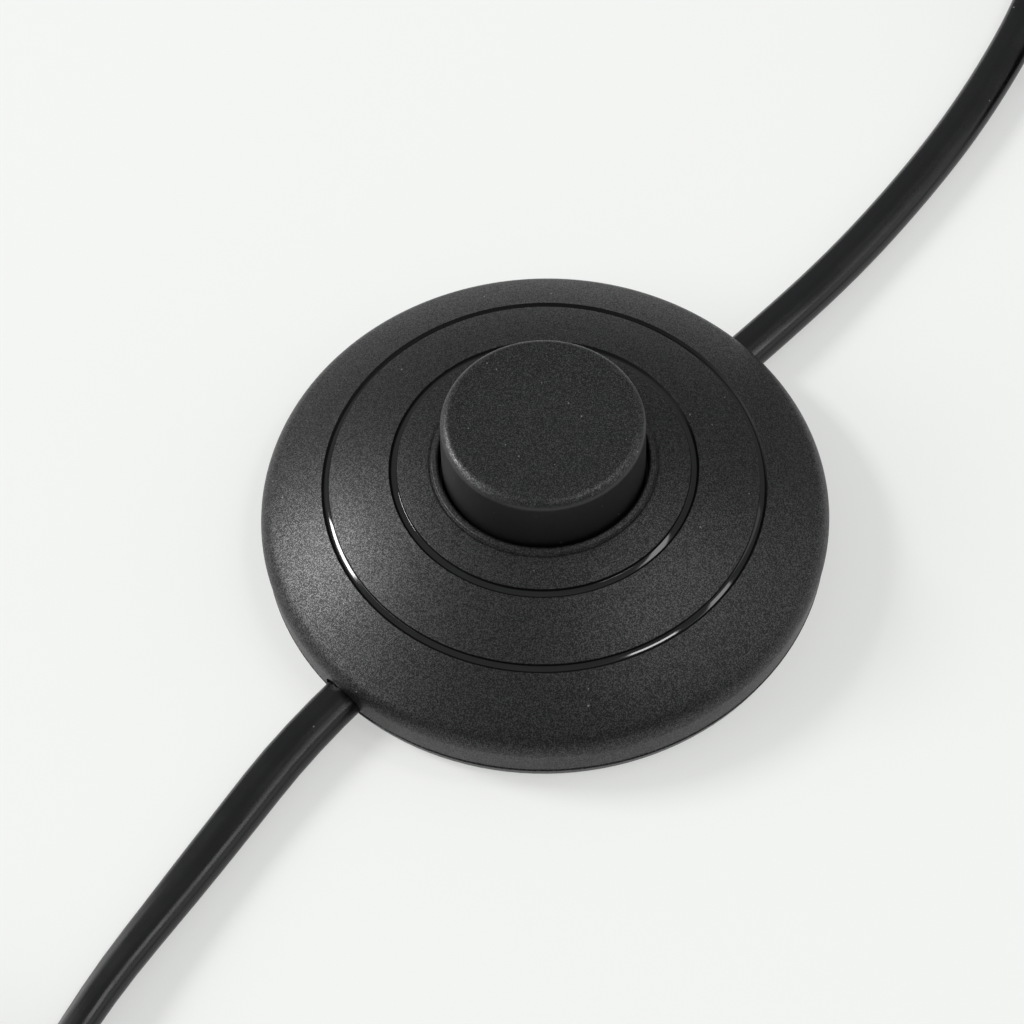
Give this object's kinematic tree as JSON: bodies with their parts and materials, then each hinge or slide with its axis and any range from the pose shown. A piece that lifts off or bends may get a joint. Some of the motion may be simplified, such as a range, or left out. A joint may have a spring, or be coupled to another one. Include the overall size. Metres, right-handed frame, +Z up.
{
  "type": "lamp foot switch",
  "caption": "Round domed floor switch with a central push button, set in a flat lamp cord that runs from a mains plug to a stripped lamp end.",
  "frame": {"origin": "middle of the base plate's underside, on the floor", "axes": "+Z up along the button's axis, +X along the cord towards the lamp"},
  "size_m": [0.3738, 0.0732, 0.0228],
  "materials": {
    "cover": "fine spark-eroded grain",
    "button": "fine grain on top, smooth side",
    "base": "moulded",
    "inner_plastic": "moulded",
    "sheath": "soft satin",
    "live_core": "smooth",
    "neutral_core": "smooth",
    "plug": "moulded",
    "coil_tie": "moulded",
    "brass": "stamped",
    "copper_wire": "stranded",
    "steel": "plated",
    "plated_pin": "plated"
  },
  "bodies": {
    "housing": {"upper_cover": "cover", "base_plate": "base", "cover_screws": "steel", "return_spring": "steel", "rotor_retainer": "inner_plastic", "retainer_screws": "steel", "live_contact_supply": "brass", "live_contact_lamp": "brass", "contact_rivets": "brass", "neutral_link": "brass", "terminal_screws": "steel", "cord_clamp_supply": "inner_plastic", "cord_clamp_lamp": "inner_plastic", "clamp_screws": "steel", "supply_live_core": "live_core", "supply_neutral_core": "neutral_core", "lamp_live_core": "live_core", "lamp_neutral_core": "neutral_core", "bare_wire_ends": "copper_wire", "supply_cord": "sheath", "supply_cord_coil": "sheath", "supply_coil_tie": "coil_tie", "supply_cord_tail": "sheath", "plug_body": "plug", "plug_pins": "plated_pin", "lamp_cord": "sheath", "lamp_cord_coil": "sheath", "lamp_coil_tie": "coil_tie", "lamp_end_cores": "live_core", "lamp_end_wires": "copper_wire"},
    "button": {"push_button": "button"},
    "rotor": {"ratchet_rotor": "inner_plastic", "contact_bridge": "brass"}
  },
  "joints": [
    {"name": "button_press", "type": "slide", "parent": "housing", "child": "button", "axis": [0, 0, -1], "range_m": [0, 0.0045], "stiffness_N_per_m": 600, "springref_m": -0.003, "deforming": ["return_spring"]},
    {"name": "rotor_index", "type": "hinge", "parent": "housing", "child": "rotor", "pos_m": [0, 0, 0.0053], "axis": [0, 0, 1], "range_deg": [0, 45]}
  ],
  "couplings": [
    {"joint": "rotor_index", "follows": "button_press", "rad_per_m": 174.53}
  ]
}
